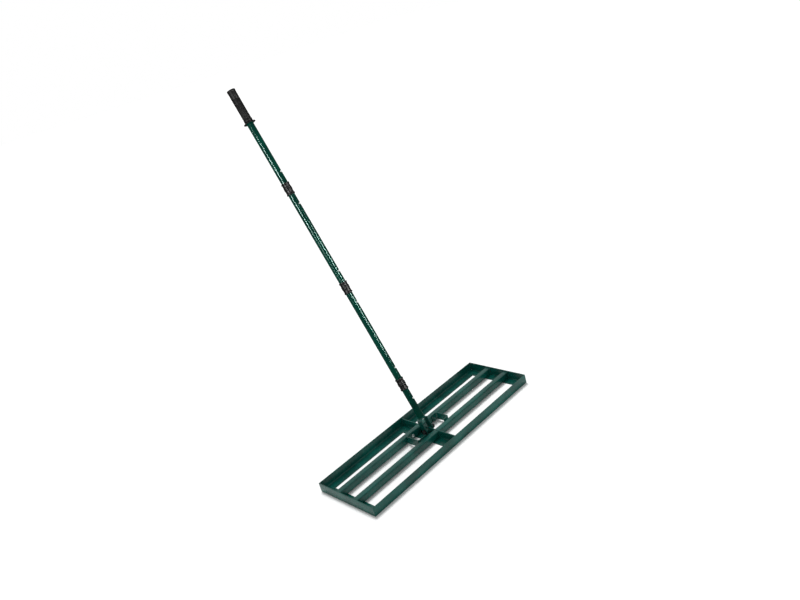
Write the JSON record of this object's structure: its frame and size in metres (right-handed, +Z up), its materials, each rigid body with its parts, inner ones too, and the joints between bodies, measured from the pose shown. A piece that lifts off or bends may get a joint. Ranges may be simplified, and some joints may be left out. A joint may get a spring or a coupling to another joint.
{
  "type": "lawn leveling rake",
  "caption": "Flat steel drag frame with inner bars and a cross brace, on a long jointed tube handle that tilts and ends in a ribbed grip, for spreading and leveling soil on lawns.",
  "frame": {"origin": "on the ground under the middle of the drag frame, on the underside of the cross brace", "axes": "+X along the long rails, +Y the way the handle leans back, +Z up"},
  "size_m": [0.762, 0.618, 1.1965],
  "materials": {
    "green_enamel": "semi-gloss dark green enamel",
    "black_plastic": "fine moulded texture",
    "grip_plastic": "soft matte moulding",
    "bright_steel": "bright",
    "zinc_plate": "zinc plated",
    "blackened_steel": "blackened, oiled"
  },
  "bodies": {
    "head": {"front_rail": "green_enamel", "back_rail": "green_enamel", "left_end_rail": "green_enamel", "right_end_rail": "green_enamel", "back_inner_bar_left": "green_enamel", "back_inner_bar_right": "green_enamel", "front_inner_bar_left": "green_enamel", "front_inner_bar_right": "green_enamel", "cross_brace": "green_enamel", "left_tie_bracket": "green_enamel", "right_tie_bracket": "green_enamel", "back_tie_bolt": "zinc_plate", "front_tie_bolt": "zinc_plate", "back_tie_nut": "zinc_plate", "front_tie_nut": "zinc_plate", "pivot_bush": "green_enamel"},
    "handle": {"pivot_bolt": "blackened_steel", "pivot_nut": "blackened_steel", "pivot_washer_left": "blackened_steel", "pivot_washer_right": "blackened_steel", "foot_yoke": "green_enamel", "stub_tube": "green_enamel", "lower_tube": "green_enamel", "middle_tube": "green_enamel", "upper_tube": "green_enamel", "lower_coupler": "zinc_plate", "middle_coupler": "zinc_plate", "upper_coupler": "zinc_plate", "lower_joint_collar_above": "black_plastic", "lower_joint_collar_below": "black_plastic", "middle_joint_collar_above": "black_plastic", "middle_joint_collar_below": "black_plastic", "upper_joint_collar_above": "black_plastic", "upper_joint_collar_below": "black_plastic", "lower_spring_above": "bright_steel", "lower_spring_below": "bright_steel", "middle_spring_above": "bright_steel", "middle_spring_below": "bright_steel", "upper_spring_above": "bright_steel", "upper_spring_below": "bright_steel", "grip": "grip_plastic"},
    "button_lower_below": {"lower_button_below": "bright_steel"},
    "button_lower_above": {"lower_button_above": "bright_steel"},
    "button_middle_below": {"middle_button_below": "bright_steel"},
    "button_middle_above": {"middle_button_above": "bright_steel"},
    "button_upper_below": {"upper_button_below": "bright_steel"},
    "button_upper_above": {"upper_button_above": "bright_steel"}
  },
  "joints": [
    {"name": "handle_tilt", "type": "hinge", "parent": "head", "child": "handle", "pos_m": [0, 0, 0.018], "axis": [1, 0, 0], "range_deg": [-27.5, 72]},
    {"name": "press_lower_below", "type": "slide", "parent": "handle", "child": "button_lower_below", "axis": [0.3007, -0.8833, 0.3597], "range_m": [-0.004, 0], "stiffness_N_per_m": 300, "springref_m": 0.003},
    {"name": "press_lower_above", "type": "slide", "parent": "handle", "child": "button_lower_above", "axis": [0.3007, -0.8833, 0.3597], "range_m": [-0.004, 0], "stiffness_N_per_m": 300, "springref_m": 0.003},
    {"name": "press_middle_below", "type": "slide", "parent": "handle", "child": "button_middle_below", "axis": [0.3007, -0.8833, 0.3597], "range_m": [-0.004, 0], "stiffness_N_per_m": 300, "springref_m": 0.003},
    {"name": "press_middle_above", "type": "slide", "parent": "handle", "child": "button_middle_above", "axis": [0.3007, -0.8833, 0.3597], "range_m": [-0.004, 0], "stiffness_N_per_m": 300, "springref_m": 0.003},
    {"name": "press_upper_below", "type": "slide", "parent": "handle", "child": "button_upper_below", "axis": [0.3007, -0.8833, 0.3597], "range_m": [-0.004, 0], "stiffness_N_per_m": 300, "springref_m": 0.003},
    {"name": "press_upper_above", "type": "slide", "parent": "handle", "child": "button_upper_above", "axis": [0.3007, -0.8833, 0.3597], "range_m": [-0.004, 0], "stiffness_N_per_m": 300, "springref_m": 0.003}
  ]
}
